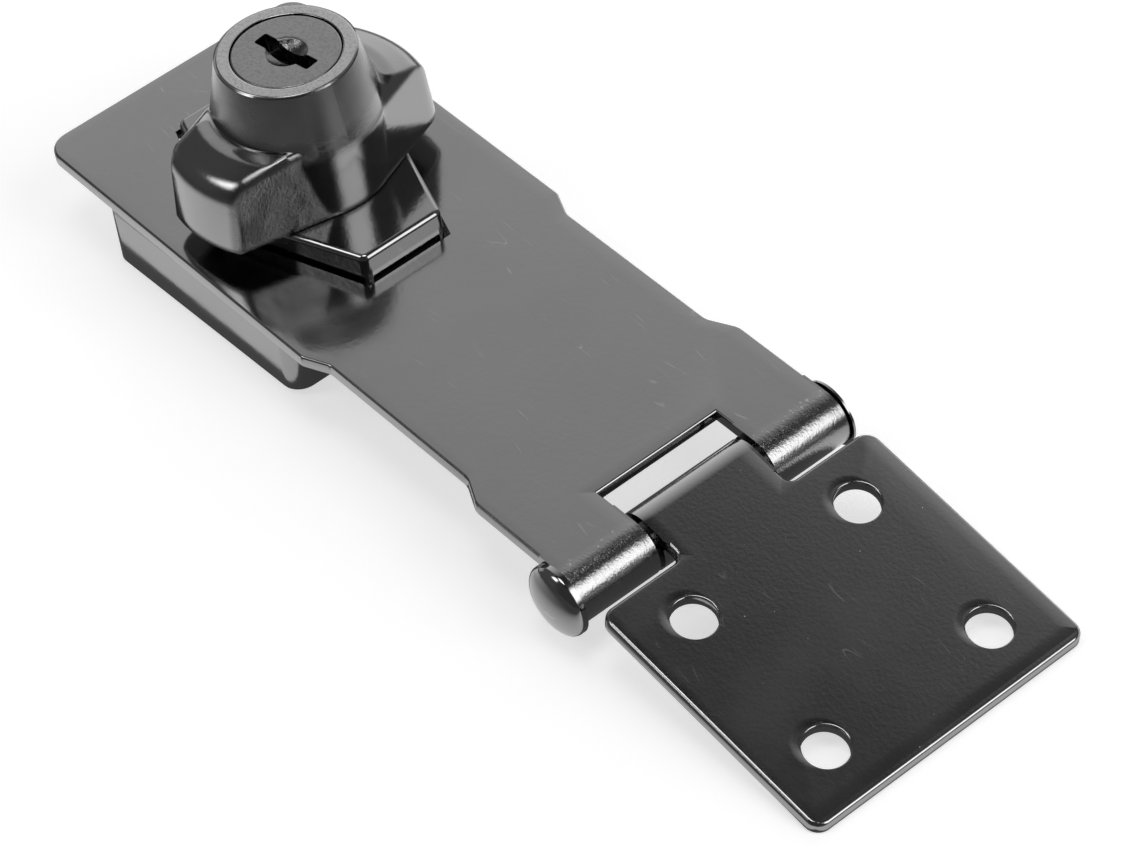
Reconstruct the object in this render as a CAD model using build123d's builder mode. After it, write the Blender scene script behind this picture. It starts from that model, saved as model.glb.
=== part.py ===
from build123d import *
from math import cos, degrees, hypot, pi, radians, sin, tan
import os

os.makedirs("parts", exist_ok=True)

# Keyed twist-knob hasp, closed: the strap slopes down from the base and the leaf hangs from the hinge.
# Origin: lock axis on the underside of the base. X runs to the hinge, Y across, Z up.

# Sheet metal
sheet = 1.2
sheet_edge_chamfer = 0.25
hole_edge_chamfer = 0.15

# Strap outline, with lengths counted from the hinge axis, apart from its end past the lock axis
strap_end = 23.57
strap_lock_width = 32.0
strap_waist_width = 29.5
strap_hinge_width = 32.5
strap_taper_start = 38.3
strap_taper_end = 35.5
strap_flare_start = 15.2
strap_flare_end = 12.2
strap_corner_radius = 2.6
strap_taper_radius = 1.0
strap_flare_radius = 2.2
strap_corner_window = 1.0
cutout_face = 5.35
cutout_width = 14.5
cutout_corner_radius = 0.5
strap_angle = 2.58

# Hinge leaf, with lengths counted from the hinge axis
leaf_far = 34.0
leaf_near = 4.9
leaf_width = 33.0
leaf_corner_radius = 1.5
leaf_edge_chamfer = 0.4
tongue_side_play = 0.6
tongue_relief = 0.05
notch_radius = 0.9
leaf_hole_diameter = 4.5
leaf_hole_pitch_x = 17.5
leaf_hole_pitch_y = 20.0
leaf_hole_far_margin = 5.95
leaf_angle = 13.0

# Hinge pin
pin_axis_x = 56.43
hinge_side_shift = 0.3
pin_diameter = 3.6
pin_clearance = 0.08
pin_head_diameter = 7.4
pin_head_rim = 0.45
pin_dome_height = 1.5
pin_tail_diameter = 6.9
pin_tail_thickness = 0.7
pin_head_gap = 0.2
pin_neck_diameter = 4.6
seam_angle = 150.0

# Die-cast base
base_size = 30.0
base_height = 6.7
base_corner_radius = 2.0
base_edge_chamfer = 0.5
base_wall = 2.0
base_roof = 2.2
hub_radius = 10.4
screw_margin_x = 4.2
screw_margin_y = 3.8
screw_hole_diameter = 3.6
screw_head_diameter = 6.0
screw_post_radius = 3.6
strap_seat_gap = 0.05

# Boss that comes up through the slot in the strap
boss_height = 4.25
boss_end_width = 9.6
boss_middle_width = 20.4
boss_corner_radius = 1.0
boss_edge_radius = 0.6
slot_clearance = 0.45

# Turn knob
knob_gap = 0.15
knob_height = 14.3
knob_body_radius = 8.65
cone_foot_radius = 8.55
cone_top_radius = 7.05
cone_edge_chamfer = 0.12
wing_reach = 14.0
wing_height = 8.6
wing_tip_drop = 1.4
wing_draft = 4.0
cone_foot_height = 7.4
body_step_height = 0.1
wing_trim = 0.3
face_root_angle = -20.67
face_tip_angle = -66.36
flank_tip_angle = -105.66
flank_root_angle = -164.72
wing_tip_radius = 1.7
wing_flank_radius = 3.2
wing_face_round = 0.8
wing_shoulder_radius = 2.5
wing_flank_play = 0.2
flank_round_run = 3.0
flank_round_drop = 3.2

# Socket, stem and travel stop
stem_radius = 6.4
stem_clearance = 0.08
stem_bore_radius = 4.6
stem_foot = 1.2
counterbore_radius = 8.4
counterbore_depth = 3.3
stop_inner_radius = 7.35
stop_outer_radius = 8.25
stop_depth = 1.0
stop_clearance = 0.1
stop_span = 20.0
stop_start = 200.0
knob_travel = 90.0

# Washer and retaining ring on the stem
washer_radius = 8.1
washer_thickness = 0.6
ring_radius = 7.5
ring_thickness = 0.8
ring_groove_radius = 5.7
ring_opening = 5.0
seat_gap = 0.05

# Lock plug
plug_radius = 5.45
plug_clearance = 0.1
plug_edge_chamfer = 0.1
plug_recess = 0.05
keyway_length = 7.15
keyway_width = 1.65
keyway_dimple_radius = 2.25
keyway_dimple_depth = 0.9
keyway_angle = 8.0
keyway_corner_radius = 0.25
keyway_floor = 0.6
wafer_groove_depth = 0.9
wafer_groove_top = 2.0
tail_radius = 3.0
tail_length = 4.2
tail_gap = 0.15
tail_groove_radius = 2.4
knob_floor = 1.5
clip_radius = 4.1
clip_thickness = 0.5
clip_opening = 3.6
clip_grip = 0.03

# Locking bolt and the crank that drives it
bolt_thickness = 2.0
bolt_width = 5.0
bolt_clearance = 0.05
bolt_level = 8.25
bolt_travel = 1.5
bolt_notch_clearance = 0.25
crank_pin_radius = 0.9
crank_play = 0.06

# Wafers and their springs
wafer_count = 5
wafer_first_depth = 3.0
wafer_last_floor = 0.4
wafer_thickness = 0.8
wafer_width = 4.8
wafer_clearance = 0.05
wafer_window_length = 7.3
wafer_window_width = 2.0
wafer_ear_width = 1.3
wafer_ear_length = 0.8
wafer_cuts = (0.3, -0.3, 0.45, 0.0, -0.45)
wafer_ear_position = 1.2
spring_length = 2.4
spring_radius = 0.42
spring_wire_radius = 0.11
spring_wire_sides = 4
spring_turns = 3
spring_turn_sides = 7
spring_pocket_height = 1.3
spring_pocket_play = 0.06

quarter_turn = 90.0

# Heights worked out from the sizes above
boss_top = base_height + boss_height
knob_bottom = boss_top + knob_gap
knob_top = knob_bottom + knob_height
wing_top = knob_bottom + wing_height
plug_top = knob_top - plug_recess
tail_bottom = bolt_level + bolt_thickness / 2 + tail_gap
plug_bottom = tail_bottom + tail_length
plug_length = plug_top - plug_bottom
wafer_last_depth = plug_length - wafer_last_floor - spring_pocket_height / 2
wafer_pitch = (wafer_last_depth - wafer_first_depth) / (wafer_count - 1)
floor_bottom = plug_bottom - seat_gap - knob_floor
washer_top = counterbore_depth - seat_gap
ring_top = washer_top - washer_thickness - seat_gap
socket_floor = plug_bottom - seat_gap
plug_bore = plug_radius + plug_clearance
clip_top = floor_bottom - 2 * seat_gap
crank_radius = hypot(bolt_travel / 2, bolt_travel / 2)
screw_pitch_x = base_size - 2 * screw_margin_x
screw_pitch_y = base_size - 2 * screw_margin_y
tongue_width = cutout_width - 2 * tongue_side_play

# Hinge barrel: the sheet is rolled round the pin
pin_radius = pin_diameter / 2
barrel_bore = pin_radius + pin_clearance
barrel_radius = barrel_bore + sheet

strap_length = pin_axis_x + strap_end

# Hinge axis: the underside of the strap rests on the base's upper edge
rest_x = base_size / 2 - base_edge_chamfer
pitch = radians(strap_angle)
seat_x = pin_axis_x + barrel_bore * sin(pitch)
seat_z = base_height + strap_seat_gap - (seat_x - rest_x) * tan(pitch)
pin_axis_z = seat_z - barrel_bore * cos(pitch)
hinge_axis = Vector(pin_axis_x, hinge_side_shift, pin_axis_z)


def sheet_plane(angle_down):
    """Plane through the hinge axis, tilted down towards +X, with local Z as the sheet's normal."""
    along = Vector(cos(radians(angle_down)), 0, -sin(radians(angle_down)))
    normal = Vector(sin(radians(angle_down)), 0, cos(radians(angle_down)))
    return Plane(origin=hinge_axis, x_dir=along, z_dir=normal)


def roll_plane(angle_down):
    """Plane across the hinge axis, with local X along the sheet and local Y along its normal."""
    along = Vector(cos(radians(angle_down)), 0, -sin(radians(angle_down)))
    return Plane(origin=hinge_axis, x_dir=along, z_dir=(0, -1, 0))


strap_plane = sheet_plane(strap_angle)
leaf_plane = sheet_plane(leaf_angle)


def boss_outline(grow):
    """Corner points of the boss's long hexagon, each side moved out by grow."""
    half_end = boss_end_width / 2
    half_middle = boss_middle_width / 2
    half_length = base_size / 2
    slope = (half_middle - half_end) / half_length
    side_shift = grow * hypot(1, slope)
    end_x = half_length + grow
    end_y = half_middle + side_shift - slope * end_x
    middle_y = half_middle + side_shift
    return [(end_x, -end_y), (end_x, end_y), (0, middle_y), (-end_x, end_y), (-end_x, -end_y), (0, -middle_y)]


def rolled_eye(side):
    """Section of a sheet rolled round the pin. side is 1 for a sheet that leaves towards -X, -1 for +X."""
    seam_run = -side * barrel_bore / tan(radians(180 - seam_angle))
    Circle(barrel_radius)
    Circle(barrel_bore, mode=Mode.SUBTRACT)
    Polygon((0, 0), (seam_run, barrel_bore), (0, barrel_bore), align=None, mode=Mode.SUBTRACT)
    with Locations((-side * barrel_radius / 2, barrel_bore + sheet / 2)):
        Rectangle(barrel_radius, sheet)


def top_edges(part, plane, clear_of_axis):
    """Outer edges of a sheet's upper face, apart from those at the hinge axis."""
    face = part.faces().sort_by(Axis(plane.origin, plane.z_dir))[-1]
    edges = face.outer_wire().edges()
    return [edge for edge in edges if abs(plane.to_local_coords(edge.center()).X) > clear_of_axis]


def sector(start, span, reach):
    """Face that covers the angles from start to start + span, out to reach."""
    steps = 6
    angles = [radians(start + span * step / steps) for step in range(steps + 1)]
    points = [(reach * cos(angle), reach * sin(angle)) for angle in angles]
    with BuildSketch(mode=Mode.PRIVATE) as wedge:
        Polygon((0, 0), *points, align=None)
    return wedge.sketch


def strap_corners(vertices, start, end):
    """The vertices of the strap's outline whose distances from the hinge lie between start and end."""
    return vertices.filter_by_position(Axis.X, -start - strap_corner_window, -end + strap_corner_window)


# Strap
slot_u = -(pin_axis_x + (barrel_bore + sheet / 2) * sin(pitch)) / cos(pitch)
with BuildPart() as hasp_strap:
    with BuildSketch(strap_plane.offset(barrel_bore)) as strap_sketch:
        with BuildLine():
            Polyline(
                (-strap_length, 0),
                (-strap_length, strap_lock_width / 2),
                (-strap_taper_start, strap_lock_width / 2),
                (-strap_taper_end, strap_waist_width / 2),
                (-strap_flare_start, strap_waist_width / 2),
                (-strap_flare_end, strap_hinge_width / 2),
                (0, strap_hinge_width / 2),
                (0, cutout_width / 2),
                (-cutout_face, cutout_width / 2),
                (-cutout_face, 0),
            )
            mirror(about=Plane.XZ)
        make_face()
        corners = strap_sketch.vertices()
        fillet(strap_corners(corners, strap_length, strap_length), strap_corner_radius)
        corners = strap_sketch.vertices()
        fillet(strap_corners(corners, strap_taper_start, strap_taper_end), strap_taper_radius)
        corners = strap_sketch.vertices()
        fillet(strap_corners(corners, strap_flare_start, strap_flare_end), strap_flare_radius)
        with Locations((slot_u, -hinge_side_shift)):
            Polygon(*boss_outline(slot_clearance), align=None, mode=Mode.SUBTRACT)
    extrude(amount=sheet)
    chamfer(top_edges(hasp_strap, strap_plane, sheet), sheet_edge_chamfer)
    knuckle_length = (strap_hinge_width - cutout_width) / 2
    for side in (1, -1):
        with BuildSketch(roll_plane(strap_angle).offset(side * cutout_width / 2)):
            rolled_eye(1)
        extrude(amount=side * knuckle_length)
hasp_strap.part.label = "hasp_strap"
export_step(hasp_strap.part, "parts/hasp_strap.step")

# Hinge leaf
leaf_hole_far = leaf_far - leaf_hole_far_margin
leaf_hole_centre = leaf_hole_far - leaf_hole_pitch_x / 2
with BuildPart() as hinge_leaf:
    with BuildSketch(leaf_plane.offset(barrel_bore)) as leaf_sketch:
        with Locations(((leaf_near + leaf_far) / 2, 0)):
            RectangleRounded(leaf_far - leaf_near, leaf_width, leaf_corner_radius)
        with Locations((leaf_near / 2, 0)):
            Rectangle(leaf_near, tongue_width)
        corners = leaf_sketch.vertices()
        notch = corners.filter_by_position(Axis.X, leaf_near - 0.1, leaf_near + 0.1)
        notch_reach = tongue_width / 2 + notch_radius
        fillet(notch.filter_by_position(Axis.Y, -notch_reach, notch_reach), notch_radius)
        with Locations((leaf_hole_centre, 0)):
            with GridLocations(leaf_hole_pitch_x, leaf_hole_pitch_y, 2, 2):
                Circle(leaf_hole_diameter / 2, mode=Mode.SUBTRACT)
    extrude(amount=sheet)
    upper_face = hinge_leaf.faces().sort_by(Axis(leaf_plane.origin, leaf_plane.z_dir))[-1]
    hole_rims = [wire.edges() for wire in upper_face.inner_wires()]
    chamfer([edge for rim in hole_rims for edge in rim], hole_edge_chamfer)
    chamfer(top_edges(hinge_leaf, leaf_plane, sheet), leaf_edge_chamfer)
    with BuildSketch(roll_plane(leaf_angle).offset(-tongue_width / 2)):
        rolled_eye(-1)
    extrude(amount=tongue_width)
    with BuildSketch(roll_plane(leaf_angle).offset(-tongue_width / 2)):
        with Locations((leaf_near / 2, barrel_bore)):
            Rectangle(leaf_near, 2 * tongue_relief)
    extrude(amount=tongue_width, mode=Mode.SUBTRACT)
hinge_leaf.part.label = "hinge_leaf"
export_step(hinge_leaf.part, "parts/hinge_leaf.step")

# Hinge pin: a domed head in front, the other end set over as a thin disc
pin_plane = Plane(origin=hinge_axis, x_dir=(0, -1, 0), z_dir=(1, 0, 0))
head_back = strap_hinge_width / 2 + pin_head_gap
head_front = head_back + pin_head_rim
tail_front = -head_back - pin_tail_thickness
with BuildPart() as hinge_pin:
    with BuildSketch(pin_plane):
        with BuildLine():
            Polyline(
                (head_front + pin_dome_height, 0),
                (tail_front, 0),
                (tail_front, pin_neck_diameter / 2),
            )
            ThreePointArc(
                (tail_front, pin_neck_diameter / 2),
                (-head_back - 0.8 * pin_tail_thickness, 0.4 * pin_tail_diameter),
                (-head_back - pin_tail_thickness / 3, pin_tail_diameter / 2),
            )
            Polyline(
                (-head_back - pin_tail_thickness / 3, pin_tail_diameter / 2),
                (-head_back, pin_tail_diameter / 2),
                (-head_back, pin_radius),
                (head_back, pin_radius),
                (head_back, pin_head_diameter / 2),
                (head_front, pin_head_diameter / 2),
            )
            EllipticalCenterArc(
                (head_front, 0),
                pin_dome_height,
                pin_head_diameter / 2,
                start_angle=0,
                arc_size=quarter_turn,
            )
        make_face()
    revolve(axis=Axis(hinge_axis, (0, 1, 0)))
hinge_pin.part.label = "hinge_pin"
export_step(hinge_pin.part, "parts/hinge_pin.step")

# Lock base: a die-cast block with the long hexagonal boss on top
with BuildPart() as lock_base:
    with BuildSketch(Plane.XY):
        RectangleRounded(base_size, base_size, base_corner_radius)
    extrude(amount=base_height)
    chamfer(lock_base.faces().sort_by(Axis.Z)[-1].edges(), base_edge_chamfer)
    with BuildSketch(Plane.XY.offset(base_height - base_edge_chamfer)) as boss_sketch:
        Polygon(*boss_outline(0), align=None)
        fillet(boss_sketch.vertices(), boss_corner_radius)
    extrude(amount=boss_height + base_edge_chamfer)
    fillet(lock_base.faces().sort_by(Axis.Z)[-1].edges(), boss_edge_radius)
    with BuildSketch(Plane.XY) as pocket_sketch:
        RectangleRounded(base_size - 2 * base_wall, base_size - 2 * base_wall, base_corner_radius / 2)
        Circle(hub_radius, mode=Mode.SUBTRACT)
        with GridLocations(screw_pitch_x, screw_pitch_y, 2, 2):
            Circle(screw_post_radius, mode=Mode.SUBTRACT)
    extrude(amount=base_height - base_roof, mode=Mode.SUBTRACT)
    with Locations(Plane.XY.offset(base_height)):
        with GridLocations(screw_pitch_x, screw_pitch_y, 2, 2):
            CounterSinkHole(screw_hole_diameter / 2, screw_head_diameter / 2)
    with BuildSketch(Plane.XY):
        Circle(stem_radius + stem_clearance)
    extrude(amount=boss_top, mode=Mode.SUBTRACT)
    with BuildSketch(Plane.XY):
        Circle(counterbore_radius)
    extrude(amount=counterbore_depth, mode=Mode.SUBTRACT)
    bolt_notch_reach = stem_radius + bolt_travel + bolt_notch_clearance
    bolt_notch_width = bolt_width + 2 * bolt_notch_clearance
    bolt_notch_height = bolt_thickness + 2 * bolt_notch_clearance
    with BuildSketch(Plane.XY.offset(bolt_level - bolt_notch_height / 2)):
        with PolarLocations(bolt_notch_reach / 2, 2, angular_range=2 * quarter_turn):
            Rectangle(bolt_notch_reach, bolt_notch_width)
    extrude(amount=bolt_notch_height, mode=Mode.SUBTRACT)
    with BuildSketch(Plane.XY.offset(boss_top - stop_depth)):
        groove_start = stop_start - stop_span / 2
        groove_span = knob_travel + stop_span
        Circle(stop_outer_radius + stop_clearance)
        Circle(stop_inner_radius - stop_clearance, mode=Mode.SUBTRACT)
        add(sector(groove_start, groove_span, 2 * stop_outer_radius), mode=Mode.INTERSECT)
    extrude(amount=stop_depth, mode=Mode.SUBTRACT)
lock_base.part.label = "lock_base"
export_step(lock_base.part, "parts/lock_base.step")

# Turn knob: a two-winged body, its cone, and the stem that goes down into the base
knob_plane = Plane.XY.offset(knob_bottom)


def polar(radius, angle):
    """Point at a radius and an angle in degrees round the lock axis."""
    return Vector(radius * cos(radians(angle)), radius * sin(radians(angle)))


face_root = polar(knob_body_radius, face_root_angle)
face_tip = polar(wing_reach + wing_trim, face_tip_angle)
outer_middle = polar(wing_reach + wing_trim, -quarter_turn)
flank_tip = polar(wing_reach + wing_trim, flank_tip_angle)
flank_root = polar(knob_body_radius, flank_root_angle)
flank_run = flank_tip - flank_root
flank_foot = flank_root + Vector(0, 0, knob_bottom)
flank_plane = Plane(origin=flank_foot, x_dir=-flank_run.cross(Vector(0, 0, 1)), z_dir=flank_run)


def near(vertices, point):
    """The one of the vertices that is nearest to a point given in the plane."""
    return min(vertices, key=lambda vertex: hypot(vertex.X - point.X, vertex.Y - point.Y))


with BuildPart() as knob_wing:
    with BuildSketch(knob_plane) as wing_sketch:
        with BuildLine():
            Polyline(face_tip, face_root, (0, 0), flank_root, flank_tip)
            ThreePointArc(flank_tip, outer_middle, face_tip)
        make_face()
        fillet(near(wing_sketch.vertices(), face_tip), wing_tip_radius)
        fillet(near(wing_sketch.vertices(), flank_tip), wing_flank_radius)
    extrude(amount=wing_height + wing_tip_drop, taper=wing_draft)
    with BuildSketch(Plane.XZ) as shoulder_sketch:
        tip_level = wing_top - wing_tip_drop
        tip_edge = wing_reach - wing_height * tan(radians(wing_draft))
        with BuildLine():
            Polyline(
                (0, knob_bottom),
                (wing_reach, knob_bottom),
                (tip_edge, tip_level),
                (cone_foot_radius, wing_top),
                (0, wing_top),
                close=True,
            )
        make_face()
        fillet(near(shoulder_sketch.vertices(), Vector(tip_edge, tip_level)), wing_shoulder_radius)
    revolve(axis=Axis.Z, mode=Mode.INTERSECT)
    with BuildSketch(flank_plane.offset(-wing_reach)):
        with BuildLine():
            Polyline(
                (-wing_flank_play, wing_height - flank_round_drop),
                (-wing_flank_play, 0),
                (2 * wing_reach, 0),
                (2 * wing_reach, wing_height),
                (flank_round_run, wing_height),
            )
            EllipticalCenterArc(
                (flank_round_run, wing_height - flank_round_drop),
                flank_round_run + wing_flank_play,
                flank_round_drop,
                start_angle=quarter_turn,
                arc_size=quarter_turn,
            )
        make_face()
    extrude(amount=3 * wing_reach, mode=Mode.INTERSECT)
    ridge = knob_wing.edges().filter_by(lambda edge: edge.center().Z > tip_level - wing_tip_drop)
    ridge = ridge.filter_by(lambda edge: edge.center().X > abs(flank_tip.X))
    fillet(ridge.filter_by(lambda edge: edge.center().Y < face_root.Y), wing_face_round)

with BuildPart() as turn_knob:
    with BuildSketch(Plane.XZ) as body_sketch:
        cone_foot = knob_bottom + cone_foot_height
        with BuildLine():
            Polyline(
                (0, knob_bottom),
                (knob_body_radius, knob_bottom),
                (knob_body_radius, cone_foot - body_step_height),
                (cone_foot_radius, cone_foot),
                (cone_top_radius, knob_top),
                (0, knob_top),
                close=True,
            )
        make_face()
        chamfer(near(body_sketch.vertices(), Vector(cone_top_radius, knob_top)), cone_edge_chamfer)
    revolve(axis=Axis.Z)
    add(knob_wing.part)
    add(knob_wing.part, rotation=(0, 0, 180))
    with BuildSketch(Plane.XY.offset(stem_foot)):
        Circle(stem_radius)
    extrude(amount=cone_foot - stem_foot)
    with BuildSketch(Plane.XY.offset(stem_foot)):
        Circle(stem_bore_radius)
    extrude(amount=floor_bottom - stem_foot, mode=Mode.SUBTRACT)
    with BuildSketch(Plane.XY.offset(floor_bottom)):
        Circle(tail_radius + plug_clearance)
    extrude(amount=knob_floor, mode=Mode.SUBTRACT)
    with BuildSketch(Plane.XY.offset(socket_floor)):
        Circle(plug_bore)
    extrude(amount=knob_top - socket_floor, mode=Mode.SUBTRACT)
    with BuildSketch(Plane.XY.offset(socket_floor)):
        groove_length = 2 * (plug_bore + wafer_groove_depth)
        groove_width = wafer_width + 2 * wafer_clearance
        Rectangle(groove_length, groove_width, rotation=keyway_angle)
    extrude(amount=knob_top - wafer_groove_top - socket_floor, mode=Mode.SUBTRACT)
    with BuildSketch(Plane.XY.offset(bolt_level - bolt_thickness / 2 - bolt_clearance)):
        Rectangle(3 * stem_radius, bolt_width + 2 * bolt_clearance)
    extrude(amount=bolt_thickness + 2 * bolt_clearance, mode=Mode.SUBTRACT)
    with BuildSketch(Plane.XY.offset(ring_top - ring_thickness - seat_gap)):
        Circle(stem_radius)
        Circle(ring_groove_radius, mode=Mode.SUBTRACT)
    extrude(amount=ring_thickness + seat_gap, mode=Mode.SUBTRACT)
    lug_level = boss_top - stop_depth + stop_clearance
    with BuildSketch(Plane.XY.offset(lug_level)):
        lug_play = degrees(stop_clearance / stop_inner_radius)
        lug_start = stop_start - stop_span / 2 + lug_play
        lug_span = stop_span - 2 * lug_play
        Circle(stop_outer_radius)
        Circle(stop_inner_radius, mode=Mode.SUBTRACT)
        add(sector(lug_start, lug_span, 2 * stop_outer_radius), mode=Mode.INTERSECT)
    extrude(amount=cone_foot - lug_level)
turn_knob.part.label = "turn_knob"
export_step(turn_knob.part, "parts/turn_knob.step")

# Washer and open ring that keep the stem in the base
with BuildPart() as stem_washer:
    with BuildSketch(Plane.XY.offset(washer_top - washer_thickness)):
        Circle(washer_radius)
        Circle(stem_radius + plug_clearance, mode=Mode.SUBTRACT)
    extrude(amount=washer_thickness)
stem_washer.part.label = "stem_washer"
export_step(stem_washer.part, "parts/stem_washer.step")

with BuildPart() as stem_ring:
    with BuildSketch(Plane.XY.offset(ring_top - ring_thickness)):
        Circle(ring_radius)
        Circle(ring_groove_radius + clip_grip, mode=Mode.SUBTRACT)
        with Locations((0, -ring_radius)):
            Rectangle(ring_opening, 2 * ring_radius, mode=Mode.SUBTRACT)
    extrude(amount=ring_thickness)
stem_ring.part.label = "stem_ring"
export_step(stem_ring.part, "parts/stem_ring.step")

# Lock plug: keyway, wafer slots, tail and the crank pin under it
wafer_plane = Plane.XY.rotated((0, 0, keyway_angle))
wafer_levels = [plug_top - wafer_first_depth - wafer_pitch * number for number in range(wafer_count)]
ear_side = wafer_width / 2
spring_centre = ear_side + wafer_clearance + spring_radius + spring_wire_radius
spring_far = wafer_ear_position - wafer_ear_width / 2 - spring_length
pocket_depth = 2 * (spring_radius + spring_wire_radius + spring_pocket_play)
pocket_near = wafer_ear_position + wafer_ear_width / 2 + wafer_ear_length
pocket_far = spring_far - spring_pocket_play
with BuildPart() as lock_plug:
    with BuildSketch(Plane.XY.offset(plug_bottom)):
        Circle(plug_radius)
    extrude(amount=plug_length)
    chamfer(lock_plug.faces().sort_by(Axis.Z)[-1].edges(), plug_edge_chamfer)
    with BuildSketch(Plane.XY.offset(tail_bottom)):
        Circle(tail_radius)
    extrude(amount=tail_length + keyway_floor / 2)
    with BuildSketch(Plane.XY.offset(clip_top - clip_thickness - seat_gap)):
        Circle(tail_radius)
        Circle(tail_groove_radius, mode=Mode.SUBTRACT)
    extrude(amount=clip_thickness + seat_gap, mode=Mode.SUBTRACT)
    pin_foot = bolt_level - bolt_thickness / 2 + bolt_clearance
    with BuildSketch(Plane.XY.offset(pin_foot)):
        with Locations((-bolt_travel / 2, -bolt_travel / 2)):
            Circle(crank_pin_radius)
    extrude(amount=tail_bottom + tail_radius - pin_foot)
    with BuildSketch(wafer_plane.offset(plug_bottom + keyway_floor)):
        RectangleRounded(keyway_length, keyway_width, keyway_corner_radius)
    extrude(amount=plug_length - keyway_floor, mode=Mode.SUBTRACT)
    dimple_sphere = (keyway_dimple_radius**2 + keyway_dimple_depth**2) / (2 * keyway_dimple_depth)
    with Locations((0, 0, plug_top - keyway_dimple_depth + dimple_sphere)):
        Sphere(dimple_sphere, mode=Mode.SUBTRACT)
    for level in wafer_levels:
        with BuildSketch(wafer_plane.offset(level - wafer_thickness / 2 - wafer_clearance)):
            Rectangle(3 * plug_radius, wafer_width + 2 * wafer_clearance)
        extrude(amount=wafer_thickness + 2 * wafer_clearance, mode=Mode.SUBTRACT)
        with BuildSketch(wafer_plane.offset(level - spring_pocket_height / 2)):
            with Locations(((pocket_near + pocket_far) / 2, ear_side + pocket_depth / 2)):
                Rectangle(pocket_near - pocket_far, pocket_depth + 2 * wafer_clearance)
        extrude(amount=spring_pocket_height, mode=Mode.SUBTRACT)
lock_plug.part.label = "lock_plug"
export_step(lock_plug.part, "parts/lock_plug.step")



def coil_point(step, level):
    """Corner of a wafer spring, a coil of straight runs that lies along the wafer."""
    turn = 2 * pi * step / spring_turn_sides
    run = (spring_length - 2 * spring_wire_radius) * step / (spring_turns * spring_turn_sides)
    across = spring_centre + spring_radius * cos(turn)
    height = level + spring_radius * sin(turn)
    return wafer_plane.from_local_coords(Vector(spring_far + spring_wire_radius + run, across, height))


# Wafers, drawn as a key holds them, and the spring beside each
for number, cut in enumerate(wafer_cuts, start=1):
    level = wafer_levels[number - 1]
    with BuildPart() as wafer:
        with BuildSketch(wafer_plane.offset(level - wafer_thickness / 2)):
            Circle(plug_radius)
            Rectangle(2 * plug_radius, wafer_width, mode=Mode.INTERSECT)
            with Locations((wafer_ear_position, ear_side + wafer_ear_length / 2)):
                Rectangle(wafer_ear_width, wafer_ear_length)
            with Locations((cut, 0)):
                Rectangle(wafer_window_length, wafer_window_width, mode=Mode.SUBTRACT)
        extrude(amount=wafer_thickness)
    wafer.part.label = f"wafer_{number}"
    export_step(wafer.part, f"parts/wafer_{number}.step")

    with BuildPart() as wafer_spring:
        with BuildLine() as coil:
            Polyline(*[coil_point(step, level) for step in range(spring_turns * spring_turn_sides + 1)])
        with BuildSketch(Plane(origin=coil.line @ 0, z_dir=coil.line % 0)):
            RegularPolygon(spring_wire_radius, spring_wire_sides)
        sweep(path=coil.line, transition=Transition.RIGHT)
    wafer_spring.part.label = f"wafer_spring_{number}"
    export_step(wafer_spring.part, f"parts/wafer_spring_{number}.step")

# Open clip on the plug's tail
with BuildPart() as plug_clip:
    with BuildSketch(Plane.XY.offset(clip_top - clip_thickness)):
        Circle(clip_radius)
        Circle(tail_groove_radius + clip_grip, mode=Mode.SUBTRACT)
        with Locations((0, clip_radius)):
            Rectangle(clip_opening, 2 * clip_radius, mode=Mode.SUBTRACT)
    extrude(amount=clip_thickness)
plug_clip.part.label = "plug_clip"
export_step(plug_clip.part, "parts/plug_clip.step")

# Locking bolt: a bar through the stem, with a slot for the crank pin
with BuildPart() as locking_bolt:
    with BuildSketch(Plane.XY.offset(bolt_level - bolt_thickness / 2)):
        Circle(stem_radius - bolt_clearance)
        Rectangle(2 * stem_radius, bolt_width, mode=Mode.INTERSECT)
        with Locations((-bolt_travel / 2, -(bolt_travel / 2 + crank_radius) / 2)):
            slot_reach = crank_radius - bolt_travel / 2
            SlotCenterToCenter(slot_reach, 2 * (crank_pin_radius + crank_play), rotation=90, mode=Mode.SUBTRACT)
    extrude(amount=bolt_thickness)
locking_bolt.part.label = "locking_bolt"
export_step(locking_bolt.part, "parts/locking_bolt.step")
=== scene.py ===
"""Keyed twist-knob hasp in black nickel: finishes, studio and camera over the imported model."""

import logging
import math
from dataclasses import dataclass, field
from enum import Enum
from typing import ClassVar, Optional, Union

import bpy
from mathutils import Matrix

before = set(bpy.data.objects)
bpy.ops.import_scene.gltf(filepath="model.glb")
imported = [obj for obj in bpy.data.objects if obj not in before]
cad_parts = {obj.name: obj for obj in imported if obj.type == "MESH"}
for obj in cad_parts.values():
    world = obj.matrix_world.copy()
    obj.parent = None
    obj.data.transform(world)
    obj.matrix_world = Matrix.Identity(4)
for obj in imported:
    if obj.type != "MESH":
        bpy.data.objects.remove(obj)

Colour = tuple[float, float, float]
Operand = Union["Signal", float, Colour, bpy.types.NodeSocket]
DEGREES = math.degrees(1.0)
BLACK: Colour = (0.0, 0.0, 0.0)

log = logging.getLogger("hasp")


def grey(level: float) -> Colour:
    """A neutral colour."""
    return (level, level, level)


def darker(tone: Colour, share: float) -> Colour:
    """A colour at a share of its brightness."""
    return tuple(share * part for part in tone)


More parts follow.
